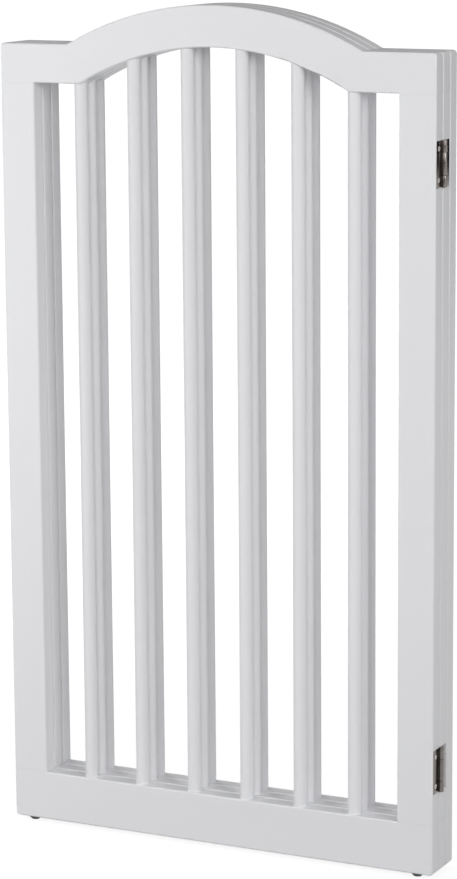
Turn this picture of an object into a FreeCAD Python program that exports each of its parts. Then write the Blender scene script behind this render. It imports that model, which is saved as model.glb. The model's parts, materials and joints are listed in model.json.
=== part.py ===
import FreeCAD, Part
import math
import os

from FreeCAD import Vector

# A free-standing pet gate: three equal painted wooden panels that fold flat on each other in zig-zag.
# Millimetres, +Z up. The origin is on the floor under the middle of the folded stack. X runs along the
# panels, the front panel lies towards -Y and the rear panel towards +Y.

# Overall sizes of the gate
OVERALL_HEIGHT = 914.0          # floor to the crown of the arch, 36 in
PANEL_WIDTH = 508.0             # one panel, 20 in
PANEL_THICKNESS = 18.0
FOLD_GAP = 1.0                  # between the faces of two folded panels

# Frame members
STILE_WIDTH = 41.0
BOTTOM_RAIL_HEIGHT = 55.0
SHOULDER_LENGTH = 82.0          # flat end of the top rail, side of the panel to the foot of the arch
SHOULDER_DEPTH = 42.0           # top rail at the shoulders
ARCH_DEPTH = 44.0               # top rail along the arch, outer curve to inner curve
ARCH_RISE = 44.0                # crown above the shoulders
CORNER_RADIUS = 4.0             # outer corners of the frame
EDGE_ROUND = 2.0                # all edges round the frame and round its opening
SEAM_CHAMFER = 0.4              # fine groove where a stile meets a rail

# Slats
SLAT_COUNT = 6
SLAT_DIAMETER = 14.0
SLAT_MARGIN = 53.0              # inner face of the stile to the axis of the first slat
SOCKET_DEPTH = 12.0             # how far a slat is let into a rail

# Corner joints
CORNER_PIN_DIAMETER = 8.0
CORNER_PIN_LENGTH = 38.0
CORNER_PIN_SPACING = 19.0       # between the two pins of a joint

# Glides under the bottom rail
GLIDE_HEIGHT = 4.0
GLIDE_DIAMETER = 14.0
GLIDE_BASE_DIAMETER = 9.0       # flat that rests on the floor
GLIDE_RIM = 1.2                 # straight rim above the taper
GLIDE_FLOOR = 1.2               # plastic under the head of the nail
NAIL_DIAMETER = 2.0
NAIL_HEAD_DIAMETER = 5.0
NAIL_HEAD_HEIGHT = 0.6
NAIL_LENGTH = 15.0

# Butt hinges
HINGE_HEIGHT = 48.0
HINGE_INSET = 113.0             # end of the panel's straight edge to the middle of the hinge
LEAF_THICKNESS = 1.2
LEAF_MARGIN = 1.5               # outer edge of a leaf to the face of its panel
BARREL_DIAMETER = 6.0
END_KNUCKLE_HEIGHT = 12.0
ROLL_GAP = 0.15                 # between the rolled end of a knuckle and the face of its leaf
HINGE_PIN_DOME = 0.6            # domed end of the pin, beyond the barrel

# Hinge screws
SCREW_SHANK_DIAMETER = 3.0
SCREW_HEAD_DIAMETER = 5.4
SCREW_LENGTH = 14.0
SCREW_TIP_LENGTH = 2.5
SCREW_END_DISTANCE = 8.0        # end of the leaf to the axis of the screw
CROSS_WIDTH = 0.7
CROSS_LENGTH = 3.2
CROSS_DEPTH = 0.9

# Clearances
GLUE_CLEARANCE = 0.1            # round a glued or driven piece in its hole
HOLE_END_CLEARANCE = 0.5        # beyond the end of a glued or driven piece
PIN_CLEARANCE = 0.05            # round a hinge pin in its knuckle
KNUCKLE_CLEARANCE = 0.35        # between a knuckle and what swings past it
KNUCKLE_GAP = 0.25              # between the ends of two knuckles
MORTISE_CLEARANCE = 0.1         # round a leaf in its mortise
SCREW_CLEARANCE = 0.05          # round a screw in its leaf and in the wood
OVERCUT = 5.0                   # how far a cutting shape passes a surface it opens

# Worked out from the sizes above
HALF_WIDTH = PANEL_WIDTH / 2
HALF_THICKNESS = PANEL_THICKNESS / 2
PANEL_PITCH = PANEL_THICKNESS + FOLD_GAP
OPENING_HALF_WIDTH = HALF_WIDTH - STILE_WIDTH
STILE_AXIS = HALF_WIDTH - STILE_WIDTH / 2
RAIL_UNDERSIDE = GLIDE_HEIGHT
BOTTOM_SEAM = RAIL_UNDERSIDE + BOTTOM_RAIL_HEIGHT
SHOULDER_TOP = OVERALL_HEIGHT - ARCH_RISE
TOP_SEAM = SHOULDER_TOP - SHOULDER_DEPTH
ARCH_HALF_SPAN = HALF_WIDTH - SHOULDER_LENGTH
ARCH_RADIUS = (ARCH_HALF_SPAN ** 2 + ARCH_RISE ** 2) / (2 * ARCH_RISE)
ARCH_CENTRE = OVERALL_HEIGHT - ARCH_RADIUS
INNER_ARCH_RADIUS = ARCH_RADIUS - ARCH_DEPTH
INNER_ARCH_HALF_SPAN = math.sqrt(INNER_ARCH_RADIUS ** 2 - (TOP_SEAM - ARCH_CENTRE) ** 2)
SLAT_PITCH = 2 * (OPENING_HALF_WIDTH - SLAT_MARGIN) / (SLAT_COUNT - 1)
BARREL_RADIUS = BARREL_DIAMETER / 2
LEAF_REACH = FOLD_GAP / 2 + PANEL_THICKNESS - LEAF_MARGIN
HINGE_PIN_X = HALF_WIDTH - LEAF_THICKNESS + BARREL_RADIUS
HINGE_PIN_RADIUS = BARREL_RADIUS - LEAF_THICKNESS - PIN_CLEARANCE
HINGE_PIN_Y = -PANEL_PITCH / 2
HINGE_HEIGHTS = {"upper": SHOULDER_TOP - HINGE_INSET, "lower": RAIL_UNDERSIDE + HINGE_INSET}
SCREW_HEAD_HEIGHT = (SCREW_HEAD_DIAMETER - SCREW_SHANK_DIAMETER) / 2
SCREW_REACH = (BARREL_RADIUS + KNUCKLE_CLEARANCE + LEAF_REACH) / 2

X_AXIS = Vector(1, 0, 0)
Y_AXIS = Vector(0, 1, 0)
Z_AXIS = Vector(0, 0, 1)
ORIGIN = Vector(0, 0, 0)


# ---------------------------------------------------------------- shapes shared by the pieces

def box_between(low, high):
    """A box from its lowest corner to its highest corner."""
    size = high - low
    return Part.makeBox(size.x, size.y, size.z, low)


def upright(radius, x, y, bottom, top):
    """A cylinder along Z."""
    return Part.makeCylinder(radius, top - bottom, Vector(x, y, bottom), Z_AXIS)


def chamfered_rod(radius, chamfer, x, y, bottom, top):
    """A round rod along Z with chamfered ends."""
    rod = upright(radius, x, y, bottom, top)
    rims = [edge for edge in rod.Edges if edge.Closed]
    return rod.makeChamfer(chamfer, rims)


def spun(profile, x, y):
    """A solid of revolution about the vertical through x, y. The profile is (radius, height) corners."""
    corners = [Vector(x + radius, y, height) for radius, height in profile]
    wire = Part.makePolygon(corners + corners[:1])
    return Part.Face(wire).revolve(Vector(x, y, 0), Z_AXIS, 360)


def prism_from(edges):
    """The closed outline in the panel's plane, carried through the panel's thickness."""
    face = Part.Face(Part.Wire(edges))
    face.translate(Vector(0, -HALF_THICKNESS, 0))
    return face.extrude(Vector(0, PANEL_THICKNESS, 0))


def line(x0, z0, x1, z1):
    return Part.makeLine(Vector(x0, 0, z0), Vector(x1, 0, z1))


def arch(half_span, foot, crown):
    """An arc from right to left in the panel's plane, over the middle of the panel."""
    return Part.Arc(Vector(half_span, 0, foot), Vector(0, 0, crown), Vector(-half_span, 0, foot)).toShape()


# ---------------------------------------------------------------- the frame of one panel

def outline():
    """Outer outline of a panel: straight sides and shoulders under an arched crown."""
    return prism_from([
        line(-HALF_WIDTH, RAIL_UNDERSIDE, HALF_WIDTH, RAIL_UNDERSIDE),
        line(HALF_WIDTH, RAIL_UNDERSIDE, HALF_WIDTH, SHOULDER_TOP),
        line(HALF_WIDTH, SHOULDER_TOP, ARCH_HALF_SPAN, SHOULDER_TOP),
        arch(ARCH_HALF_SPAN, SHOULDER_TOP, OVERALL_HEIGHT),
        line(-ARCH_HALF_SPAN, SHOULDER_TOP, -HALF_WIDTH, SHOULDER_TOP),
        line(-HALF_WIDTH, SHOULDER_TOP, -HALF_WIDTH, RAIL_UNDERSIDE),
    ])


def opening():
    """The opening inside a panel, whose arch is concentric with the outer one."""
    return prism_from([
        line(-OPENING_HALF_WIDTH, BOTTOM_SEAM, OPENING_HALF_WIDTH, BOTTOM_SEAM),
        line(OPENING_HALF_WIDTH, BOTTOM_SEAM, OPENING_HALF_WIDTH, TOP_SEAM),
        line(OPENING_HALF_WIDTH, TOP_SEAM, INNER_ARCH_HALF_SPAN, TOP_SEAM),
        arch(INNER_ARCH_HALF_SPAN, TOP_SEAM, OVERALL_HEIGHT - ARCH_DEPTH),
        line(-INNER_ARCH_HALF_SPAN, TOP_SEAM, -OPENING_HALF_WIDTH, TOP_SEAM),
        line(-OPENING_HALF_WIDTH, TOP_SEAM, -OPENING_HALF_WIDTH, BOTTOM_SEAM),
    ])


def runs_through(edge):
    """Whether an edge crosses the panel from face to face."""
    return edge.BoundBox.YLength > PANEL_THICKNESS / 2


def lies_on_a_face(edge):
    """Whether an edge lies on the front or the back face of the panel."""
    box = edge.BoundBox
    return box.YLength < EDGE_ROUND / 2 and abs(box.Center.y) > HALF_THICKNESS - EDGE_ROUND / 2


def assembled_frame():
    """The glued-up frame before it is divided: round corners, and edges rounded inside and out."""
    blank = outline()
    corners = [edge for edge in blank.Edges
               if runs_through(edge) and abs(edge.BoundBox.Center.x) > HALF_WIDTH - EDGE_ROUND]
    frame = blank.makeFillet(CORNER_RADIUS, corners).cut(opening())
    return frame.makeFillet(EDGE_ROUND, [edge for edge in frame.Edges if lies_on_a_face(edge)])


def slice_of(frame, x_low, x_high, z_low, z_high):
    """The member of the frame that lies between two uprights and two levels."""
    window = box_between(Vector(x_low, -PANEL_THICKNESS, z_low), Vector(x_high, PANEL_THICKNESS, z_high))
    return frame.common(window).Solids[0]


def seam_chamfered(stile):
    """A stile with both end faces chamfered, which leaves a fine groove at each seam."""
    ends = [face for face in stile.Faces if abs(face.normalAt(0, 0).z) > 0.99]
    return stile.makeChamfer(SEAM_CHAMFER, [edge for face in ends for edge in face.Edges])


def rail_underside_at(x):
    """Height of the top rail's underside at a distance x from the middle of the panel."""
    if abs(x) >= INNER_ARCH_HALF_SPAN:
        return TOP_SEAM
    return ARCH_CENTRE + math.sqrt(INNER_ARCH_RADIUS ** 2 - x ** 2)


# ---------------------------------------------------------------- slats, corner pins and glides

def slat_places():
    """The axis of each slat and the height of its top, which sits in its socket in the top rail."""
    for number in range(SLAT_COUNT):
        x = (number - (SLAT_COUNT - 1) / 2) * SLAT_PITCH
        inner_side = max(abs(x) - SLAT_DIAMETER / 2, 0)
        yield x, rail_underside_at(inner_side) + SOCKET_DEPTH


def slat(x, top):
    bottom = BOTTOM_SEAM - SOCKET_DEPTH
    return chamfered_rod(SLAT_DIAMETER / 2, 1.0, x, 0, bottom, top)


def slat_socket(x, top):
    """The space that a slat takes in both rails."""
    radius = SLAT_DIAMETER / 2 + GLUE_CLEARANCE
    return upright(radius, x, 0, BOTTOM_SEAM - SOCKET_DEPTH - HOLE_END_CLEARANCE, top + HOLE_END_CLEARANCE)


def corner_pin_places():
    """Axis and middle height of each pin: two in each of the four corner joints."""
    for side in (-1, 1):
        for seam in (BOTTOM_SEAM, TOP_SEAM):
            for offset in (-CORNER_PIN_SPACING / 2, CORNER_PIN_SPACING / 2):
                yield side * STILE_AXIS + offset, seam


def corner_pin(x, seam):
    reach = CORNER_PIN_LENGTH / 2
    return chamfered_rod(CORNER_PIN_DIAMETER / 2, 1.0, x, 0, seam - reach, seam + reach)


def corner_pin_hole(x, seam):
    reach = CORNER_PIN_LENGTH / 2 + HOLE_END_CLEARANCE
    return upright(CORNER_PIN_DIAMETER / 2 + GLUE_CLEARANCE, x, 0, seam - reach, seam + reach)


def nail_solid(x, growth):
    """The nail of a glide, or with some growth the space that it takes."""
    shank = NAIL_DIAMETER / 2 + growth
    head = NAIL_HEAD_DIAMETER / 2 + growth
    foot = GLIDE_FLOOR - growth
    neck = GLIDE_FLOOR + NAIL_HEAD_HEIGHT + growth
    tip = GLIDE_FLOOR + NAIL_LENGTH + growth
    return spun([(0, foot), (head, foot), (head, neck), (shank, neck),
                 (shank, tip - NAIL_DIAMETER), (0, tip)], x, 0)


def glide(x):
    """A round glide: a straight rim under the rail, then a taper to the flat that rests on the floor."""
    rim = GLIDE_DIAMETER / 2
    base = GLIDE_BASE_DIAMETER / 2
    shoulder = GLIDE_HEIGHT - GLIDE_RIM
    body = spun([(0, 0), (base, 0), (rim, shoulder), (rim, GLIDE_HEIGHT), (0, GLIDE_HEIGHT)], x, 0)
    return body.cut(nail_solid(x, GLUE_CLEARANCE))


# ---------------------------------------------------------------- hinges

# A hinge is drawn at the right edge, between the front and the middle panel. Its leaves lie open in the
# edges of the folded panels, and its barrel stands outside them. The same hinge turned half round the
# vertical is the one at the left edge, between the middle and the rear panel.

def knuckle_spans(middle):
    """Bottom and top of each knuckle of the end leaf and of the middle leaf, from the bottom up."""
    low = middle - HINGE_HEIGHT / 2
    high = middle + HINGE_HEIGHT / 2
    first = low + END_KNUCKLE_HEIGHT
    second = high - END_KNUCKLE_HEIGHT
    return [(low, first), (second, high)], [(first + KNUCKLE_GAP, second - KNUCKLE_GAP)]


def on_barrel(radius, span, growth=0.0):
    return upright(radius, HINGE_PIN_X, HINGE_PIN_Y, span[0] - growth, span[1] + growth)


def leaf_plate(direction, middle, growth=0.0):
    """The flat of a leaf, or its mortise. It runs from the barrel towards the front (-1) or the back (1)."""
    reach = LEAF_REACH + growth
    y_low, y_high = sorted((HINGE_PIN_Y, HINGE_PIN_Y + direction * reach))
    half = HINGE_HEIGHT / 2 + growth
    outside = OVERCUT if growth else 0.0
    return box_between(Vector(HALF_WIDTH - LEAF_THICKNESS, y_low, middle - half),
                       Vector(HALF_WIDTH + outside, y_high, middle + half))


def screw_places(direction, middle):
    """Where the axis of each screw meets the face of its leaf."""
    offset = HINGE_HEIGHT / 2 - SCREW_END_DISTANCE
    for z in (middle - offset, middle + offset):
        yield Vector(HALF_WIDTH, HINGE_PIN_Y + direction * SCREW_REACH, z)


def screw_solid(place, growth=0.0):
    """A countersunk screw driven towards -X, or with some growth the space that it takes."""
    inwards = Vector(-1, 0, 0)
    shank = SCREW_SHANK_DIAMETER / 2 + growth
    head = SCREW_HEAD_DIAMETER / 2 + growth
    shank_end = SCREW_LENGTH - SCREW_TIP_LENGTH
    neck = place + inwards * SCREW_HEAD_HEIGHT
    parts = [Part.makeCone(head, shank, SCREW_HEAD_HEIGHT, place, inwards),
             Part.makeCylinder(shank, shank_end - SCREW_HEAD_HEIGHT, neck, inwards),
             Part.makeCone(shank, shank / 4, SCREW_TIP_LENGTH + growth, place + inwards * shank_end, inwards)]
    return parts[0].multiFuse(parts[1:]).removeSplitter().Solids[0]


def cross_recess(place):
    """The cross in the head of a screw."""
    half_length = CROSS_LENGTH / 2
    half_width = CROSS_WIDTH / 2
    bars = [box_between(place - Vector(CROSS_DEPTH, y, z), place + Vector(OVERCUT, y, z))
            for y, z in ((half_length, half_width), (half_width, half_length))]
    return bars[0].fuse(bars[1])


def hinge_screw(place):
    return screw_solid(place).cut(cross_recess(place))


def hinge_leaf(direction, middle, own_spans, other_spans):
    """A leaf rolled into its knuckles, cut away where the knuckles of the other leaf turn."""
    leaf = leaf_plate(direction, middle).multiFuse([on_barrel(BARREL_RADIUS, span) for span in own_spans])
    whole = (middle - HINGE_HEIGHT / 2, middle + HINGE_HEIGHT / 2)
    cuts = [on_barrel(HINGE_PIN_RADIUS + PIN_CLEARANCE, whole, OVERCUT)]
    y_low, y_high = sorted((HINGE_PIN_Y, HINGE_PIN_Y + direction * OVERCUT))
    cuts += [box_between(Vector(HALF_WIDTH, y_low, low - KNUCKLE_GAP / 2),
                         Vector(HALF_WIDTH + ROLL_GAP, y_high, high + KNUCKLE_GAP / 2)) for low, high in own_spans]
    cuts += [on_barrel(BARREL_RADIUS + KNUCKLE_CLEARANCE, span, KNUCKLE_GAP) for span in other_spans]
    cuts += [screw_solid(place, SCREW_CLEARANCE) for place in screw_places(direction, middle)]
    return leaf.cut(cuts).removeSplitter().Solids[0]


def hinge_pin(middle):
    """The pin, with a low dome at each end."""
    radius = HINGE_PIN_RADIUS
    half = HINGE_HEIGHT / 2
    shoulder = radius - HINGE_PIN_DOME
    profile = [(0, -half - HINGE_PIN_DOME), (shoulder, -half - HINGE_PIN_DOME), (radius, -half),
               (radius, half), (shoulder, half + HINGE_PIN_DOME), (0, half + HINGE_PIN_DOME)]
    return spun([(r, middle + height) for r, height in profile], HINGE_PIN_X, HINGE_PIN_Y)


def hinge_seat(direction, middle):
    """What a hinge takes out of a stile: the mortise, the room for the barrel and the screw holes."""
    whole = (middle - HINGE_HEIGHT / 2, middle + HINGE_HEIGHT / 2)
    seat = [leaf_plate(direction, middle, MORTISE_CLEARANCE),
            on_barrel(BARREL_RADIUS + KNUCKLE_CLEARANCE, whole, KNUCKLE_CLEARANCE)]
    seat += [screw_solid(place, SCREW_CLEARANCE) for place in screw_places(direction, middle)]
    return seat


def half_turn(shape):
    """The shape turned half round the vertical through the origin."""
    turned = shape.copy()
    turned.rotate(ORIGIN, Z_AXIS, 180)
    return turned


# ---------------------------------------------------------------- the gate

nodes = {}


def add_panel(name, y, seats):
    """All the wooden pieces and glides of one panel. The seats are cut out of its stiles."""
    sockets = [slat_socket(x, top) for x, top in slat_places()]
    pin_holes = [corner_pin_hole(x, seam) for x, seam in corner_pin_places()]
    nail_holes = [nail_solid(side * STILE_AXIS, GLUE_CLEARANCE) for side in (-1, 1)]
    top_rail = slice_of(FRAME, -PANEL_WIDTH, PANEL_WIDTH, TOP_SEAM, 2 * OVERALL_HEIGHT)
    bottom_rail = slice_of(FRAME, -PANEL_WIDTH, PANEL_WIDTH, 0, BOTTOM_SEAM)
    panel = {"top_rail": top_rail.cut(sockets + pin_holes),
             "bottom_rail": bottom_rail.cut(sockets + pin_holes + nail_holes)}
    for side, side_name in ((-1, "left"), (1, "right")):
        x_low, x_high = sorted((0, side * PANEL_WIDTH))
        stile = seam_chamfered(slice_of(FRAME, x_low, x_high, BOTTOM_SEAM, TOP_SEAM))
        panel[side_name + "_stile"] = stile.cut(pin_holes)
    for number, (x, top) in enumerate(slat_places(), start=1):
        panel["slat_%d" % number] = slat(x, top)
    panel["corner_pins"] = Part.makeCompound([corner_pin(x, seam) for x, seam in corner_pin_places()])
    panel["glides"] = Part.makeCompound([glide(side * STILE_AXIS) for side in (-1, 1)])
    panel["glide_nails"] = Part.makeCompound([nail_solid(side * STILE_AXIS, 0) for side in (-1, 1)])
    for piece, shape in panel.items():
        shape.translate(Vector(0, y, 0))
        if piece.endswith("_stile"):
            shape = shape.cut(seats)
        nodes[name + "_" + piece] = shape


def add_hinges():
    """Four hinges and their screws: two at the right edge, two at the left edge."""
    edges = (("right", "front", lambda shape: shape), ("left", "rear", half_turn))
    for side_name, end_panel, placed in edges:
        screws = {end_panel + "_hinge_screws": [], "middle_" + side_name + "_hinge_screws": []}
        for level, middle in HINGE_HEIGHTS.items():
            end_spans, middle_spans = knuckle_spans(middle)
            hinge = level + "_" + side_name + "_hinge_"
            nodes[hinge + end_panel + "_leaf"] = placed(hinge_leaf(-1, middle, end_spans, middle_spans))
            nodes[hinge + "middle_leaf"] = placed(hinge_leaf(1, middle, middle_spans, end_spans))
            nodes[hinge + "pin"] = placed(hinge_pin(middle))
            for group, direction in zip(screws.values(), (-1, 1)):
                group.extend(placed(hinge_screw(place)) for place in screw_places(direction, middle))
        for name, group in screws.items():
            nodes[name] = Part.makeCompound(group)


def seats_at_right():
    """The seats of both right hinges, in the front panel and in the middle panel."""
    return [shape for middle in HINGE_HEIGHTS.values() for direction in (-1, 1)
            for shape in hinge_seat(direction, middle)]


FRAME = assembled_frame()
right_seats = seats_at_right()
left_seats = [half_turn(shape) for shape in right_seats]
add_panel("front", -PANEL_PITCH, right_seats)
add_panel("middle", 0, right_seats + left_seats)
add_panel("rear", PANEL_PITCH, left_seats)
add_hinges()

os.makedirs("parts", exist_ok=True)
for node, solid_shape in nodes.items():
    solid_shape.exportStep("parts/" + node + ".step")
print("wrote", len(nodes), "nodes")
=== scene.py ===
import json
import math

import bpy
import numpy as np
from bpy.props import FloatProperty, FloatVectorProperty, IntProperty, PointerProperty
from mathutils import Matrix, Vector


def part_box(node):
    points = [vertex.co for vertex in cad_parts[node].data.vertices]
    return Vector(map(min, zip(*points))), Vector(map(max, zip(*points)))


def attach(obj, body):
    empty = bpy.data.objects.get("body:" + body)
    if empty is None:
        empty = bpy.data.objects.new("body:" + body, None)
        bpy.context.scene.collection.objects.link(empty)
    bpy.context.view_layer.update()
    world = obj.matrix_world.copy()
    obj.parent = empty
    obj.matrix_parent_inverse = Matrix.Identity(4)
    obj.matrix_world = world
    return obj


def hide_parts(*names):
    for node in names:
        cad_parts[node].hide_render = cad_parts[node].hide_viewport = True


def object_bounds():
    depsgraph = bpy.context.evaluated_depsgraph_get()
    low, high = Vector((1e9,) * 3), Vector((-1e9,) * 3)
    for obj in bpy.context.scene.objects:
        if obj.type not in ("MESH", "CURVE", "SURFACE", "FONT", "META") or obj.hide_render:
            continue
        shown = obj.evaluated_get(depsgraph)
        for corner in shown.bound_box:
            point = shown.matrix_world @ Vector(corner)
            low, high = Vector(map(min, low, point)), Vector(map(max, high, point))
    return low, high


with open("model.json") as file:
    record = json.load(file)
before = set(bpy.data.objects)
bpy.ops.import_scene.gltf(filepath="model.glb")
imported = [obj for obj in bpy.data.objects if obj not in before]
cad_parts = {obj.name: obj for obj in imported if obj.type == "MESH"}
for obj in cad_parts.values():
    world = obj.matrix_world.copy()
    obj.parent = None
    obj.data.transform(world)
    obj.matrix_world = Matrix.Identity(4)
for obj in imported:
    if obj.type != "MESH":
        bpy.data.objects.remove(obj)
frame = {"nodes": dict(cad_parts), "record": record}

bl_info = {
    "name": "Folding Pet Gate",
    "version": (1, 0, 0),
    "blender": (4, 5, 0),
    "location": "View3D > Sidebar > Pet Gate",
    "description": "Paints and details a folding three-panel pet gate and sets its studio",
    "category": "Object",
}

# Metres throughout, +Z up, with the front panel towards -Y.

CAD_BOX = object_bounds()
NODES = frame["nodes"]
BODY_OF_NODE = {node: body for body, members in frame["record"]["behaviour"]["bodies"].items()
                for node in members}
SLATS = sorted(node for node in NODES if "_slat_" in node)
CAD_HALF_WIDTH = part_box("front_top_rail")[1].x

# The rails, as the construction gives them, and the beads of paint on them.
RAIL_HALF_THICKNESS = 0.009
EDGE_ROUND = 0.002
SHOULDER_LENGTH = 0.082
ARCH_RISE = 0.044
ARCH_DEPTH = 0.044
BEAD_ROOT = 0.00015          # how far a bead of paint goes into the rail, out of sight

# The hinges.
LEAF_THICKNESS = 0.0012
END_KNUCKLE_HEIGHT = 0.012
KNUCKLE_GAP = 0.00025
KNUCKLE_CLEARANCE = 0.00035
TAIL_RELIEF = 0.00004        # a rolled strip is thinner by this on each face where it runs into its leaf
ROLL_END = math.radians(360 + 121)
HINGE_PIN_DOME = 0.0006
SCREW_HEAD_RADIUS = 0.0027
SCREW_SHANK_RADIUS = 0.0015
SCREW_LENGTH = 0.014
SCREW_TIP = 0.0025
SCREW_END_DISTANCE = 0.008
SCREW_TURN = math.radians(37)   # each cross is turned by this much more than the one before
CROSS_HALF_WIDTH = 0.00042
CROSS_HALF_LENGTH = 0.0016
CROSS_SLOPE = 0.00022
CROSS_DEPTH = 0.0009
POLE = 0.00002               # radius of the ring that closes a round end
LEAVES_OF_SCREWS = {
    "front_hinge_screws": ("upper_right_hinge_front_leaf", "lower_right_hinge_front_leaf"),
    "middle_right_hinge_screws": ("upper_right_hinge_middle_leaf", "lower_right_hinge_middle_leaf"),
    "middle_left_hinge_screws": ("upper_left_hinge_middle_leaf", "lower_left_hinge_middle_leaf"),
    "rear_hinge_screws": ("upper_left_hinge_rear_leaf", "lower_left_hinge_rear_leaf"),
}

# How finely the round surfaces are divided.
SOFTENED_ROWS = 4
BEAD_ROWS = 6
DOME_ROWS = 7
PIN_COLUMNS = 40
ROLL_POINTS = 56
PLATE_POINTS = 16
HEAD_RINGS = 25
HEAD_COLUMNS = 64

# The finishes. Noise is counted in flecks to the metre, and depths are those of the relief.
NOISE_RANGE = (0.25, 0.75)   # where nearly all values of a noise lie
PAINT_CLOUDS = 9.0
PAINT_IOR = 1.42
WOOD_GRAIN = 420.0
SPRAY_DIMPLES = 650.0
DRAWN_LINES = 2400.0
DRAWN_LINE_DEPTH = 0.000004
TARNISH = 160.0
TARNISH_SHADE = 0.78
MOULD_TEXTURE = 1500.0
MOULD_TEXTURE_DEPTH = 0.00004
MOULD_WEAR = 1.6
BEECH_FLECKS = 500.0
BEECH_FLECK_DEPTH = 0.00005
BEECH_DARK = (0.42, 0.26, 0.14)
BEECH_PALE = (0.66, 0.47, 0.29)
# The dark of the screens, which only reflections see: painted dark reflections.
SCREEN_COLOUR = (0.02, 0.02, 0.02)

# The stage. Azimuth 0 is in front of the gate, and 90 is on its right.
GATE_MIDDLE = CAD_BOX[1][2] / 2
LAMPS = {                    # azimuth, distance, height, and width and height of the lamp itself
    "front": (8, 3.6, 1.60, (2.0, 1.6)),
    "left": (-42, 1.9, 0.55, (0.7, 1.6)),
    "right": (62, 2.8, 1.35, (0.8, 1.2)),
    "rim": (115, 2.8, 0.7, (0.14, 1.4)),
    "back": (-120, 2.8, 1.3, (1.4, 1.4)),
}
# Screens that only reflections see, which paint dark reflections into the metal and the paint.
SCREENS = {"front": (-24, 56), "rear": (125, 240)}       # azimuths of their two edges
SCREEN_RADIUS = 5.0
SCREEN_HEIGHT = 3.0
SCREEN_POINTS = 25
FLOOR_RADIUS = 40.0
FLOOR_POINTS = 96
GLOW_RISES = (0.5, 2.5)      # distances from the gate between which the floor's glow rises to white
SENSOR_WIDTH = 36.0
SIGHT = 200.0


# ---------------------------------------------------------------- sizes and colours a user would change

class PaintSettings(bpy.types.PropertyGroup):
    """The white paint on all the wood."""
    colour: FloatVectorProperty(name="Paint", description="Colour of the satin paint", subtype="COLOR",
                                default=(0.855, 0.855, 0.875), min=0, max=1)
    shade: FloatVectorProperty(name="Thin paint", description="Colour where the coat is thinner",
                               subtype="COLOR", default=(0.835, 0.835, 0.850), min=0, max=1)
    roughness: FloatProperty(name="Roughness", description="Roughness of the satin coat", default=0.34,
                             min=0, max=1, subtype="FACTOR")
    peel: FloatProperty(name="Orange peel", description="Height of the fine dimples left by the spray",
                        default=0.00002, min=0, max=0.001, unit="LENGTH")
    grain: FloatProperty(name="Grain", description="Height of the wood grain that shows through the paint",
                         default=0.00003, min=0, max=0.001, unit="LENGTH")


class SlatSettings(bpy.types.PropertyGroup):
    """The round slats and the bead of paint round their ends."""
    bead: FloatProperty(name="Paint bead", description="Radius of the fillet of paint between slat and rail",
                        default=0.0009, min=0.0001, max=0.005, unit="LENGTH")
    sides: IntProperty(name="Sides", description="Columns round a slat", default=72, min=16, max=128)


class MetalSettings(bpy.types.PropertyGroup):
    """Hinges, screws and nails."""
    leaf: FloatVectorProperty(name="Leaf", description="Colour of the plated hinges", subtype="COLOR",
                              default=(0.20, 0.18, 0.17), min=0, max=1)
    screw: FloatVectorProperty(name="Screw", description="Colour of the plated screws", subtype="COLOR",
                               default=(0.42, 0.40, 0.38), min=0, max=1)
    roughness: FloatProperty(name="Roughness", description="Roughness of the plating", default=0.20,
                             min=0, max=1, subtype="FACTOR")
    soften: FloatProperty(name="Softened edge", description="Radius of the tumbled edges of the hinges",
                          default=0.00025, min=0.00005, max=0.0005, unit="LENGTH")
    crown: FloatProperty(name="Screw crown", description="Height of a screw head above its leaf",
                         default=0.0004, min=0, max=0.001, unit="LENGTH")


class GlideSettings(bpy.types.PropertyGroup):
    """The glides that the gate stands on."""
    colour: FloatVectorProperty(name="Glide", description="Colour of the moulded plastic", subtype="COLOR",
                                default=(0.030, 0.030, 0.032), min=0, max=1)


class StageSettings(bpy.types.PropertyGroup):
    """Camera, lamps and floor. A lamp's brightness is that of a white surface that faces it."""
    camera_place: FloatVectorProperty(name="Camera", description="Where the camera stands",
                                      default=(1.4488, -2.9089, 1.0715), subtype="TRANSLATION")
    camera_turn: FloatProperty(name="Turn", description="How far the camera looks to the left of +Y",
                               default=math.radians(26.421), subtype="ANGLE")
    camera_dip: FloatProperty(name="Dip", description="How far the camera looks down",
                              default=math.radians(10.828), subtype="ANGLE")
    camera_roll: FloatProperty(name="Roll", description="How far the camera is rolled",
                               default=math.radians(-0.435), subtype="ANGLE")
    lens: FloatProperty(name="Lens", description="Focal length in millimetres on a 36 mm sensor",
                        default=126.16, min=10, max=400)
    horizon: FloatProperty(name="Horizon", description="Light from the sides of the room", default=0.53,
                           min=0, max=2)
    zenith: FloatProperty(name="Zenith", description="Light from the ceiling", default=0.08, min=0, max=2)
    front: FloatProperty(name="Front lamp", description="Brightness of the big lamp in front",
                         default=0.28, min=0, max=5)
    left: FloatProperty(name="Left lamp", description="Brightness of the tall lamp on the left",
                        default=0.33, min=0, max=5)
    right: FloatProperty(name="Right lamp", description="Brightness of the lamp on the right",
                         default=0.28, min=0, max=5)
    rim: FloatProperty(name="Rim lamp", description="Brightness of the slim lamp behind, on the right",
                       default=0.03, min=0, max=5)
    back: FloatProperty(name="Back lamp", description="Brightness of the lamp behind, on the left",
                        default=0.50, min=0, max=5)
    floor: FloatVectorProperty(name="Floor", description="Colour of the floor as it lights the gate",
                               subtype="COLOR", default=(0.28, 0.28, 0.28), min=0, max=1)
    floor_glow: FloatProperty(name="Floor glow", description="White added to the floor that the camera sees",
                              default=0.84, min=0, max=1)


# ---------------------------------------------------------------- meshes

def object_from(name, vertices, faces, material, smooth=True):
    """A mesh object at the origin, with its place in its vertices."""
    mesh = bpy.data.meshes.new(name)
    mesh.from_pydata(vertices.tolist(), [], faces)
    mesh.validate()
    mesh.polygons.foreach_set("use_smooth", np.full(len(mesh.polygons), smooth))
    mesh.materials.append(material)
    made = bpy.data.objects.new(name, mesh)
    bpy.context.scene.collection.objects.link(made)
    return made


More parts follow.
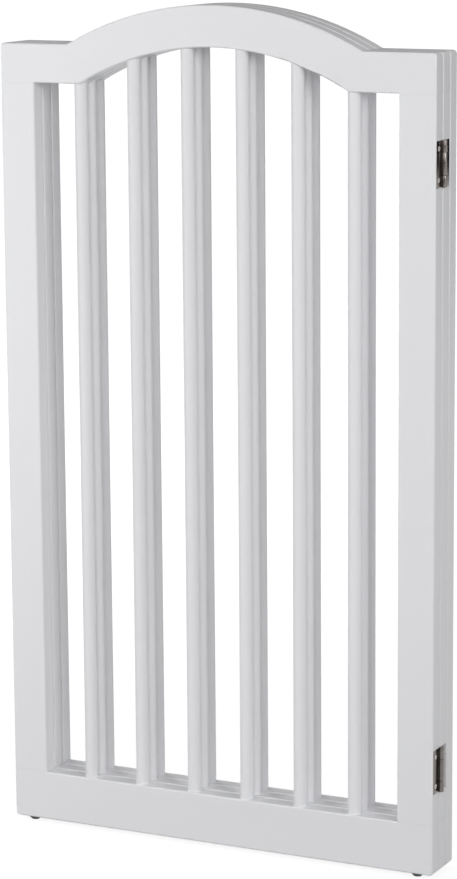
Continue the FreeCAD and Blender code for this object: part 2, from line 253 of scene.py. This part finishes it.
def tube(grid):
    """Vertices and faces of a closed tube whose rows are rings, with a flat cap on its first and last ring.

    grid has a point for each row and each column, and a ring turns to the left as seen from the last row."""
    rows, columns = grid.shape[:2]
    ring = np.arange(columns)
    after = np.roll(ring, -1)
    low = (np.arange(rows - 1) * columns)[:, None]
    quads = np.stack([low + ring, low + after, low + columns + after, low + columns + ring], axis=-1)
    caps = [ring[::-1].tolist(), ((rows - 1) * columns + ring).tolist()]
    return grid.reshape(-1, 3), quads.reshape(-1, 4).tolist() + caps


def together(shells):
    """The vertices and faces of several closed shells as one list of each."""
    starts = np.cumsum([0] + [len(vertices) for vertices, _ in shells])
    faces = [[corner + int(start) for corner in face]
             for start, (_, shell) in zip(starts, shells) for face in shell]
    return np.concatenate([vertices for vertices, _ in shells]), faces


def turns(columns):
    """Evenly spaced angles once round."""
    return np.linspace(0, 2 * np.pi, columns, endpoint=False)


def softened_bar(outline, low, high, soften):
    """A bar with an upright axis, whose ends are rounded over.

    Its outline is carried from low to high. Within the radius soften of an end it is drawn in by
    soften * (1 - sin a) at the height soften * (1 - cos a), for a from 0 at the end to 90 degrees."""
    before = outline - np.roll(outline, 1, axis=0)
    after = np.roll(outline, -1, axis=0) - outline
    before /= np.linalg.norm(before, axis=1, keepdims=True)
    after /= np.linalg.norm(after, axis=1, keepdims=True)
    along = before + after
    mitre = np.stack([-along[:, 1], along[:, 0]], axis=1) / (1 + np.sum(before * after, axis=1))[:, None]
    bend = np.linspace(0, np.pi / 2, SOFTENED_ROWS)
    inset = soften * (1 - np.sin(bend))
    rise = soften * (1 - np.cos(bend))
    insets = np.concatenate([inset, inset[::-1]])
    heights = np.concatenate([low + rise, high - rise[::-1]])
    grid = np.empty((len(heights), len(outline), 3))
    grid[:, :, :2] = outline + insets[:, None, None] * mitre
    grid[:, :, 2] = heights[:, None]
    return tube(grid)


def turning_left(outline):
    """The outline with its inside on the left as it is followed."""
    ahead = np.roll(outline, -1, axis=0)
    area = np.sum(outline[:, 0] * ahead[:, 1] - ahead[:, 0] * outline[:, 1])
    return outline if area > 0 else outline[::-1]


def make_piece(name, shells, material, finish, *nodes):
    """A piece that stands for CAD nodes of one body and rides on it. The finish it is given is not used."""
    piece = object_from(name, *together(shells), material)
    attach(piece, BODY_OF_NODE[nodes[0]])
    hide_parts(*nodes)
    return piece


# ---------------------------------------------------------------- slats

def drop_of_edge(from_middle):
    """How far a rail's rounded edge has fallen away at that distance from the middle of its thickness.

    It is 0 as far as the start of the rounding, and then e - sqrt(e^2 - d^2) at the distance d past it."""
    past = np.clip(np.abs(from_middle) - (RAIL_HALF_THICKNESS - EDGE_ROUND), 0, EDGE_ROUND)
    return EDGE_ROUND - np.sqrt(EDGE_ROUND ** 2 - past ** 2)


def rail_underside(x):
    """Height of the underside of a top rail: the circle of the inner arch, and level beside it."""
    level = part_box("front_left_stile")[1].z
    crown = CAD_BOX[1][2]
    half_span = CAD_HALF_WIDTH - SHOULDER_LENGTH
    radius = (half_span ** 2 + ARCH_RISE ** 2) / (2 * ARCH_RISE)
    inner = radius - ARCH_DEPTH
    arch = crown - radius + np.sqrt(np.maximum(inner ** 2 - x ** 2, 0))
    return np.maximum(level, arch)


def beaded_slat(node, bead, sides):
    """A round slat with a small hollow bead of paint where it meets each rail.

    Round a bead the radius is R + b (1 - sin a) and the height above the rail b (1 - cos a), for a from 0
    on the rail to 90 degrees on the slat. The rail's own surface is added to the height of each point, so
    the bead follows the arch and the rounded edges."""
    low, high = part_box(node)
    middle = (low + high) / 2
    radius = (high.x - low.x) / 2
    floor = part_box(node.split("_")[0] + "_bottom_rail")[1].z
    bend = np.linspace(0, np.pi / 2, BEAD_ROWS)
    flare = np.concatenate([[0, bead], bead * (1 - np.sin(bend))])
    rise = np.concatenate([[-BEAD_ROOT, -BEAD_ROOT], bead * (1 - np.cos(bend))])
    turn = turns(sides)

    def ring(out):
        x = middle.x + (radius + out)[:, None] * np.cos(turn)
        y = middle.y + (radius + out)[:, None] * np.sin(turn)
        return x, y

    x, y = ring(flare)
    foot = floor - drop_of_edge(y - middle.y) + rise[:, None]
    head = rail_underside(x) + drop_of_edge(y - middle.y) - rise[:, None]
    end_x, end_y = ring(np.zeros(1))
    rows_x = np.concatenate([end_x, x, x[::-1], end_x])
    rows_y = np.concatenate([end_y, y, y[::-1], end_y])
    rows_z = np.concatenate([np.full_like(end_x, low.z), foot, head[::-1], np.full_like(end_x, high.z)])
    return tube(np.stack([rows_x, rows_y, rows_z], axis=-1))


# ---------------------------------------------------------------- hinges

def leaf_and_pin(leaf):
    """A leaf's box and where its pin is, with its radius, its reach and the two ways it points.

    side is 1 on the right of the gate and -1 on its left, towards is 1 for a leaf behind its pin and -1 for
    one in front of it, radius is that of the knuckles, and reach is how far the leaf runs from the pin."""
    low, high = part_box(leaf)
    pin_low, pin_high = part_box(leaf.rsplit("_", 2)[0] + "_pin")
    pin = (pin_low + pin_high) / 2
    side = math.copysign(1, pin.x)
    towards = math.copysign(1, (low.y + high.y) / 2 - pin.y)
    radius = (high.x - low.x) / 2
    reach = high.y - pin.y if towards > 0 else pin.y - low.y
    return low, high, pin, radius, reach, side, towards


def on_hinge(pin, side, towards, outline):
    """Points (out from the panel, along the leaf) about the pin as points (X, Y)."""
    return np.stack([pin.x + side * outline[:, 0], pin.y + towards * outline[:, 1]], axis=1)


def plate_outline(radius, reach, soften):
    """A leaf's flat seen from above: a rectangle whose corners are quarter circles."""
    low = np.array([-radius, radius + KNUCKLE_CLEARANCE])
    high = np.array([LEAF_THICKNESS - radius, reach])
    middle = (low + high) / 2
    corner = (high - low) / 2 - soften
    turn = turns(PLATE_POINTS) + np.pi / PLATE_POINTS
    way = np.stack([np.cos(turn), np.sin(turn)], axis=1)
    return middle + np.sign(way) * corner + soften * way


def rolled_outline(radius, soften):
    """A leaf's strip seen from above, rolled round the pin.

    Its middle line comes in straight beside the pin, and then follows the circle of radius r - t / 2 from
    180 degrees to the end of the roll. The two faces are half a thickness to either side of that line."""
    half = LEAF_THICKNESS / 2
    angle = np.linspace(np.pi, ROLL_END, ROLL_POINTS)
    circle = (radius - half) * np.stack([np.cos(angle), np.sin(angle)], axis=1)
    straight = np.array([[half - radius, radius + KNUCKLE_CLEARANCE + 4 * soften],
                         [half - radius, radius / 2]])
    line = np.concatenate([straight, circle])
    normal = np.concatenate([np.array([[-1, 0], [-1, 0]]), circle / (radius - half)])
    thinner = np.full(len(line), half)
    thinner[0] = half - TAIL_RELIEF
    outside = line + normal * thinner[:, None]
    inside = line - normal * thinner[:, None]
    tip_way = np.array([-np.sin(ROLL_END), np.cos(ROLL_END)])
    bend = np.linspace(0, np.pi / 2, SOFTENED_ROWS)[1:]
    across = half - soften + soften * np.cos(bend)
    ahead = soften * np.sin(bend)
    tip_out = line[-1] + across[:, None] * normal[-1] + ahead[:, None] * tip_way
    tip_in = (line[-1] - across[:, None] * normal[-1] + ahead[:, None] * tip_way)[::-1]
    return np.concatenate([outside, tip_out, tip_in, inside[::-1]])


def rolled_leaf(node, soften):
    """A hinge leaf: its flat, and the strips of its own knuckles rolled round the pin."""
    low, high, pin, radius, reach, side, towards = leaf_and_pin(node)
    first, second = low.z + END_KNUCKLE_HEIGHT, high.z - END_KNUCKLE_HEIGHT
    spans = [(low.z, first), (second, high.z)]
    if node.endswith("_middle_leaf"):
        spans = [(first + KNUCKLE_GAP, second - KNUCKLE_GAP)]
    plate = turning_left(on_hinge(pin, side, towards, plate_outline(radius, reach, soften)))
    strip = turning_left(on_hinge(pin, side, towards, rolled_outline(radius, soften)))
    return ([softened_bar(plate, low.z, high.z, soften)]
            + [softened_bar(strip, bottom, top, soften) for bottom, top in spans])


def domed_pin(node):
    """A hinge pin: a round bar whose ends are low domes, r cos a across and d sin a high."""
    low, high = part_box(node)
    middle = (low + high) / 2
    radius = (high.x - low.x) / 2
    bend = np.linspace(0, np.pi / 2, DOME_ROWS)
    across = np.maximum(radius * np.cos(bend), POLE)
    rise = HINGE_PIN_DOME * np.sin(bend)
    radii = np.concatenate([across[::-1], across])
    heights = np.concatenate([low.z + HINGE_PIN_DOME - rise[::-1], high.z - HINGE_PIN_DOME + rise])
    turn = turns(PIN_COLUMNS)
    x = middle.x + radii[:, None] * np.cos(turn)
    y = middle.y + radii[:, None] * np.sin(turn)
    return tube(np.stack([x, y, np.broadcast_to(heights[:, None], x.shape)], axis=-1))


def crossed_screw(place, side, crown, turned):
    """A raised countersunk screw that points into the panel, with its cross turned by that angle.

    The head is c (1 - (r / R)^2) high, less the depth of the cross wherever one of two arms covers the
    point. An arm is the product of two ramps, one over its width and one over its length. Below the head
    come the cone, the shank and the tip, as rings of given radius and depth."""
    radii = np.concatenate([[POLE], np.linspace(0, SCREW_HEAD_RADIUS, HEAD_RINGS)[1:]])
    turn = turns(HEAD_COLUMNS)
    first = radii[:, None] * np.cos(turn - turned)
    second = radii[:, None] * np.sin(turn - turned)

    def arm(across, along):
        width = np.clip((CROSS_HALF_WIDTH - np.abs(across)) / CROSS_SLOPE + 0.5, 0, 1)
        length = np.clip((CROSS_HALF_LENGTH - np.abs(along)) / (2 * CROSS_SLOPE) + 0.5, 0, 1)
        return width * length

    cross = np.maximum(arm(first, second), arm(second, first))
    head = crown * (1 - (radii / SCREW_HEAD_RADIUS) ** 2)[:, None] - CROSS_DEPTH * cross
    below = np.array([(SCREW_SHANK_RADIUS, SCREW_SHANK_RADIUS - SCREW_HEAD_RADIUS),
                      (SCREW_SHANK_RADIUS, SCREW_TIP - SCREW_LENGTH), (POLE, -SCREW_LENGTH)])
    radii = np.concatenate([radii, below[:, 0]])
    out = np.concatenate([head, np.repeat(below[:, 1:], len(turn), axis=1)])
    x = place.x + side * out
    y = place.y - side * radii[:, None] * np.cos(turn)
    z = place.z + radii[:, None] * np.sin(turn)
    return tube(np.stack([x, y, z], axis=-1))


def screws_of(node, crown):
    """The four screws of one edge of a panel, two through each of its leaves."""
    shells = []
    for leaf in LEAVES_OF_SCREWS[node]:
        low, high, pin, radius, reach, side, towards = leaf_and_pin(leaf)
        y = pin.y + towards * (radius + KNUCKLE_CLEARANCE + reach) / 2
        x = pin.x - side * (radius - LEAF_THICKNESS)
        for z in (low.z + SCREW_END_DISTANCE, high.z - SCREW_END_DISTANCE):
            shells.append(crossed_screw(Vector((x, y, z)), side, crown, SCREW_TURN * (1 + len(shells))))
    return shells


# ---------------------------------------------------------------- materials

def new_material(name):
    """An empty node material with its surface shader."""
    material = bpy.data.materials.new(name)
    material.use_nodes = True
    return material, material.node_tree, material.node_tree.nodes["Principled BSDF"]


def stretched_noise(tree, scale, stretch=(1, 1, 1), detail=3.0, roughness=0.5):
    """Noise on Object coordinates with about scale flecks to the metre, and each axis scaled by stretch."""
    place = tree.nodes.new("ShaderNodeTexCoord")
    mapping = tree.nodes.new("ShaderNodeMapping")
    mapping.inputs["Scale"].default_value = stretch
    noise = tree.nodes.new("ShaderNodeTexNoise")
    noise.inputs["Scale"].default_value = scale
    noise.inputs["Detail"].default_value = detail
    noise.inputs["Roughness"].default_value = roughness
    tree.links.new(place.outputs["Object"], mapping.inputs["Vector"])
    tree.links.new(mapping.outputs["Vector"], noise.inputs["Vector"])
    return noise.outputs["Fac"]


def spread(tree, value, low, high):
    """The value from 0 to 1 carried to the range from low to high."""
    span = tree.nodes.new("ShaderNodeMapRange")
    span.inputs["From Min"].default_value = NOISE_RANGE[0]
    span.inputs["From Max"].default_value = NOISE_RANGE[1]
    span.inputs["To Min"].default_value = low
    span.inputs["To Max"].default_value = high
    tree.links.new(value, span.inputs["Value"])
    return span.outputs["Result"]


def two_tone(tree, value, first, second):
    """A colour that goes from first to second as the value rises."""
    mix = tree.nodes.new("ShaderNodeMix")
    mix.data_type = "RGBA"
    mix.inputs["A"].default_value = (*first, 1)
    mix.inputs["B"].default_value = (*second, 1)
    tree.links.new(value, mix.inputs["Factor"])
    return mix.outputs["Result"]


def bump(tree, height, distance, under=None):
    """A bump whose full height is distance in metres, on top of another one."""
    node = tree.nodes.new("ShaderNodeBump")
    node.inputs["Distance"].default_value = distance
    node.inputs["Strength"].default_value = 1.0
    tree.links.new(height, node.inputs["Height"])
    if under is not None:
        tree.links.new(under, node.inputs["Normal"])
    return node.outputs["Normal"]


def satin_paint(name, along):
    """White satin paint over wood whose grain runs along X or along Z."""
    paint = bpy.context.scene.gate_paint
    material, tree, shader = new_material(name)
    stretch = {"x": (0.05, 1.0, 1.0), "z": (1.0, 1.0, 0.05)}[along]
    clouds = stretched_noise(tree, PAINT_CLOUDS, stretch, detail=2.0)
    grain = stretched_noise(tree, WOOD_GRAIN, stretch, detail=4.0, roughness=0.6)
    peel = stretched_noise(tree, SPRAY_DIMPLES, detail=1.0)
    tree.links.new(two_tone(tree, spread(tree, clouds, 0, 1), paint.shade, paint.colour),
                   shader.inputs["Base Color"])
    tree.links.new(spread(tree, grain, paint.roughness - 0.03, paint.roughness + 0.05),
                   shader.inputs["Roughness"])
    tree.links.new(bump(tree, peel, paint.peel, bump(tree, grain, paint.grain)), shader.inputs["Normal"])
    shader.inputs["IOR"].default_value = PAINT_IOR
    return material


def plated_metal(name, colour, roughness, brushed):
    """Dull nickel plating with fine drawn lines along Z where it is brushed."""
    material, tree, shader = new_material(name)
    stretch = (1.0, 1.0, 0.01) if brushed else (1.0, 1.0, 1.0)
    lines = stretched_noise(tree, DRAWN_LINES, stretch)
    clouds = stretched_noise(tree, TARNISH)
    darker = tuple(TARNISH_SHADE * c for c in colour)
    tree.links.new(two_tone(tree, spread(tree, clouds, 0, 1), darker, colour), shader.inputs["Base Color"])
    tree.links.new(spread(tree, lines, roughness - 0.06, roughness + 0.10), shader.inputs["Roughness"])
    tree.links.new(bump(tree, lines, DRAWN_LINE_DEPTH), shader.inputs["Normal"])
    shader.inputs["Metallic"].default_value = 1.0
    return material


def moulded_plastic(name, colour):
    """Dark plastic with the fine texture of its mould."""
    material, tree, shader = new_material(name)
    texture = stretched_noise(tree, MOULD_TEXTURE, detail=2.0)
    lighter = tuple(MOULD_WEAR * c for c in colour)
    tree.links.new(two_tone(tree, spread(tree, texture, 0, 1), colour, lighter), shader.inputs["Base Color"])
    tree.links.new(spread(tree, texture, 0.42, 0.55), shader.inputs["Roughness"])
    tree.links.new(bump(tree, texture, MOULD_TEXTURE_DEPTH), shader.inputs["Normal"])
    return material


def bare_wood(name):
    """Pale bare beech with its flecks along Z."""
    material, tree, shader = new_material(name)
    flecks = stretched_noise(tree, BEECH_FLECKS, (1.0, 1.0, 0.04), detail=5.0, roughness=0.65)
    tree.links.new(two_tone(tree, spread(tree, flecks, 0, 1), BEECH_DARK, BEECH_PALE),
                   shader.inputs["Base Color"])
    tree.links.new(bump(tree, flecks, BEECH_FLECK_DEPTH), shader.inputs["Normal"])
    shader.inputs["Roughness"].default_value = 0.6
    return material


def finish_of(name, make, *details):
    """The material of that name, made the first time it is asked for."""
    return bpy.data.materials.get(name) or make(name, *details)


def upright_paint():
    return finish_of("satin_white_upright", satin_paint, "z")


def level_paint():
    return finish_of("satin_white_level", satin_paint, "x")


def give(node, material):
    """A CAD node takes the material in all its slots."""
    for slot in NODES[node].material_slots:
        slot.material = material


# ---------------------------------------------------------------- operators

class GATE_OT_paint_frames(bpy.types.Operator):
    """Paint the stiles and rails of all the panels"""
    bl_idname = "gate.paint_frames"
    bl_label = "Paint frames"

    def execute(self, context):
        for node in NODES:
            if node.endswith("_stile"):
                give(node, upright_paint())
            elif node.endswith("_rail"):
                give(node, level_paint())
        return {"FINISHED"}


class GATE_OT_make_slats(bpy.types.Operator):
    """Make the round slats with their beads of paint"""
    bl_idname = "gate.make_slats"
    bl_label = "Make slats"

    def execute(self, context):
        slats = context.scene.gate_slats
        for node in SLATS:
            panel, _, number = node.split("_")
            make_piece(f"{panel}_round_slat_{number}", [beaded_slat(node, slats.bead, slats.sides)],
                       upright_paint(), "white_paint", node)
        return {"FINISHED"}


class GATE_OT_make_hinges(bpy.types.Operator):
    """Make the rolled leaves, their pins and their screws"""
    bl_idname = "gate.make_hinges"
    bl_label = "Make hinges"

    def execute(self, context):
        metal = context.scene.gate_metal
        nickel = finish_of("dull_nickel", plated_metal, metal.leaf, metal.roughness, True)
        bright = finish_of("screw_nickel", plated_metal, metal.screw, metal.roughness, False)
        for node in sorted(NODES):
            if node.endswith("_leaf"):
                make_piece(node.replace("_leaf", "_rolled_leaf"), rolled_leaf(node, metal.soften), nickel,
                           "hinge_nickel", node)
            elif node.endswith("_hinge_pin"):
                make_piece(node.replace("_pin", "_domed_pin"), [domed_pin(node)], nickel,
                           "hinge_nickel", node)
            elif node.endswith("_hinge_screws"):
                make_piece(node.replace("_screws", "_crossed_screws"), screws_of(node, metal.crown), bright,
                           "screw_nickel", node)
            elif node.endswith("_glide_nails"):
                give(node, bright)
        return {"FINISHED"}


class GATE_OT_finish_glides(bpy.types.Operator):
    """Finish the glides and the hidden corner pins"""
    bl_idname = "gate.finish_glides"
    bl_label = "Finish glides"

    def execute(self, context):
        glide = context.scene.gate_glide
        for node in NODES:
            if node.endswith("_glides"):
                give(node, finish_of("moulded_plastic", moulded_plastic, glide.colour))
            elif node.endswith("_corner_pins"):
                give(node, finish_of("bare_beech", bare_wood))
        return {"FINISHED"}


def seen_white(tree, lit, white):
    """The surface white as the camera, gloss and glass see it, and the surface lit in all other light."""
    path = tree.nodes.new("ShaderNodeLightPath")
    camera_or_gloss = tree.nodes.new("ShaderNodeMath")
    or_glass = tree.nodes.new("ShaderNodeMath")
    camera_or_gloss.operation = or_glass.operation = "MAXIMUM"
    mix = tree.nodes.new("ShaderNodeMixShader")
    tree.links.new(path.outputs["Is Camera Ray"], camera_or_gloss.inputs[0])
    tree.links.new(path.outputs["Is Glossy Ray"], camera_or_gloss.inputs[1])
    tree.links.new(camera_or_gloss.outputs[0], or_glass.inputs[0])
    tree.links.new(path.outputs["Is Transmission Ray"], or_glass.inputs[1])
    tree.links.new(or_glass.outputs[0], mix.inputs[0])
    tree.links.new(lit, mix.inputs[1])
    tree.links.new(white, mix.inputs[2])
    return mix.outputs[0]


def studio_world(stage):
    """Light that fades from the sides of the room to its ceiling, with a white room for camera and gloss."""
    world = bpy.data.worlds.new("studio")
    world.use_nodes = True
    bpy.context.scene.world = world
    tree = world.node_tree
    place = tree.nodes.new("ShaderNodeTexCoord")
    split = tree.nodes.new("ShaderNodeSeparateXYZ")
    fade = tree.nodes.new("ShaderNodeMapRange")
    fade.inputs["To Min"].default_value = stage.horizon
    fade.inputs["To Max"].default_value = stage.zenith
    light = tree.nodes["Background"]
    light.inputs["Color"].default_value = (1, 1, 1, 1)
    tree.links.new(place.outputs["Generated"], split.inputs[0])
    tree.links.new(split.outputs["Z"], fade.inputs["Value"])
    tree.links.new(fade.outputs["Result"], light.inputs["Strength"])
    white = tree.nodes.new("ShaderNodeBackground")
    white.inputs["Color"].default_value = (1, 1, 1, 1)
    white.inputs["Strength"].default_value = 1.0
    tree.links.new(seen_white(tree, light.outputs[0], white.outputs[0]),
                   tree.nodes["World Output"].inputs["Surface"])


def studio_floor(stage):
    """A round pale floor that keeps the shadow and runs out to white away from the gate."""
    turn = turns(FLOOR_POINTS)
    rim = FLOOR_RADIUS * np.stack([np.cos(turn), np.sin(turn), np.zeros_like(turn)], axis=1)
    material, tree, shader = new_material("pale_floor")
    shader.inputs["Base Color"].default_value = (*stage.floor, 1)
    shader.inputs["Roughness"].default_value = 1.0
    shader.inputs["Specular IOR Level"].default_value = 0.0
    glow = tree.nodes.new("ShaderNodeEmission")
    place = tree.nodes.new("ShaderNodeTexCoord")
    away = tree.nodes.new("ShaderNodeVectorMath")
    away.operation = "LENGTH"
    rise = tree.nodes.new("ShaderNodeMapRange")
    rise.inputs["From Min"].default_value = GLOW_RISES[0]
    rise.inputs["From Max"].default_value = GLOW_RISES[1]
    rise.inputs["To Min"].default_value = stage.floor_glow
    tree.links.new(place.outputs["Object"], away.inputs[0])
    tree.links.new(away.outputs["Value"], rise.inputs["Value"])
    tree.links.new(rise.outputs["Result"], glow.inputs["Strength"])
    both = tree.nodes.new("ShaderNodeAddShader")
    tree.links.new(shader.outputs[0], both.inputs[0])
    tree.links.new(glow.outputs[0], both.inputs[1])
    tree.links.new(seen_white(tree, shader.outputs[0], both.outputs[0]),
                   tree.nodes["Material Output"].inputs["Surface"])
    floor = object_from("floor", rim, [list(range(len(turn)))], material, smooth=False)


def on_stage(azimuth, distance, height):
    """A point of the studio at that azimuth in degrees, distance from the Z axis and height."""
    turn = math.radians(azimuth)
    return Vector((distance * math.sin(turn), -distance * math.cos(turn), height))


def lamp(name, azimuth, distance, height, size, brightness):
    """A soft rectangular lamp, wide and high as size says, that looks at the middle of the gate."""
    place = on_stage(azimuth, distance, height)
    away = Vector((0, 0, GATE_MIDDLE)) - place
    data = bpy.data.lights.new(name, "AREA")
    data.shape = "RECTANGLE"
    data.size, data.size_y = size
    data.energy = brightness * math.pi ** 2 * away.length_squared
    made = bpy.data.objects.new(name, data)
    made.location = place
    made.rotation_euler = away.to_track_quat("-Z", "Y").to_euler()
    bpy.context.scene.collection.objects.link(made)


def dark_screen(name, low, high):
    """A dark curved screen beyond the lamps, from the azimuth low to high, that only gloss sees. It paints
    dark reflections into the metal and the paint, and neither blocks nor casts light.

    It is part of an upright circular wall, with a point for each of its azimuths at the foot and the top."""
    turn = np.radians(np.linspace(low, high, SCREEN_POINTS))
    foot = SCREEN_RADIUS * np.stack([np.sin(turn), -np.cos(turn), np.zeros_like(turn)], axis=1)
    top = foot + np.array([0, 0, SCREEN_HEIGHT])
    column = np.arange(len(turn) - 1)
    quads = np.stack([column, column + 1, len(turn) + column + 1, len(turn) + column], axis=1)
    material, tree, shader = new_material(name)
    shader.inputs["Base Color"].default_value = (*SCREEN_COLOUR, 1)
    shader.inputs["Roughness"].default_value = 1.0
    screen = object_from(name, np.concatenate([foot, top]), quads.tolist(), material, smooth=False)
    screen.visible_camera = screen.visible_diffuse = screen.visible_shadow = False
    screen.visible_transmission = False


def studio_camera(stage):
    """The camera looks to the left of +Y and down, with a slight roll."""
    data = bpy.data.cameras.new("camera")
    data.lens = stage.lens
    data.sensor_width = SENSOR_WIDTH
    data.clip_end = SIGHT
    camera = bpy.data.objects.new("camera", data)
    upright = Matrix.Rotation(math.pi / 2 - stage.camera_dip, 4, "X")
    turned = Matrix.Rotation(stage.camera_turn, 4, "Z") @ upright
    rolled = turned @ Matrix.Rotation(stage.camera_roll, 4, "Z")
    camera.matrix_world = Matrix.Translation(stage.camera_place) @ rolled
    bpy.context.scene.collection.objects.link(camera)
    bpy.context.scene.camera = camera


class GATE_OT_set_stage(bpy.types.Operator):
    """Set the floor, the lamps, the surroundings and the camera"""
    bl_idname = "gate.set_stage"
    bl_label = "Set stage"

    def execute(self, context):
        stage = context.scene.gate_stage
        context.scene.view_settings.view_transform = "Standard"
        studio_world(stage)
        studio_floor(stage)
        for name, place in LAMPS.items():
            lamp(name + "_lamp", *place, getattr(stage, name))
        for name, edges in SCREENS.items():
            dark_screen(name + "_screen", *edges)
        studio_camera(stage)
        return {"FINISHED"}


OPERATORS = (GATE_OT_paint_frames, GATE_OT_make_slats, GATE_OT_make_hinges, GATE_OT_finish_glides,
             GATE_OT_set_stage)
SETTINGS = {"gate_paint": PaintSettings, "gate_slats": SlatSettings, "gate_metal": MetalSettings,
            "gate_glide": GlideSettings, "gate_stage": StageSettings}


class GATE_PT_pieces(bpy.types.Panel):
    """Sizes, colours and steps of the gate"""
    bl_label = "Pet Gate"
    bl_idname = "GATE_PT_pieces"
    bl_space_type = "VIEW_3D"
    bl_region_type = "UI"
    bl_category = "Pet Gate"

    def draw(self, context):
        for operator in OPERATORS:
            self.layout.operator(operator.bl_idname)
        for group in SETTINGS:
            settings = getattr(context.scene, group)
            for name in settings.bl_rna.properties.keys():
                if name not in ("rna_type", "name"):
                    self.layout.prop(settings, name)


def register():
    for group, settings in SETTINGS.items():
        bpy.utils.register_class(settings)
        setattr(bpy.types.Scene, group, PointerProperty(type=settings))
    for operator in OPERATORS:
        bpy.utils.register_class(operator)
    bpy.utils.register_class(GATE_PT_pieces)


def unregister():
    bpy.utils.unregister_class(GATE_PT_pieces)
    for operator in reversed(OPERATORS):
        bpy.utils.unregister_class(operator)
    for group, settings in SETTINGS.items():
        delattr(bpy.types.Scene, group)
        bpy.utils.unregister_class(settings)


def main():
    """Makes everything."""
    register()
    bpy.ops.gate.paint_frames()
    bpy.ops.gate.make_slats()
    bpy.ops.gate.make_hinges()
    bpy.ops.gate.finish_glides()
    bpy.ops.gate.set_stage()


if __name__ == "__main__":
    main()
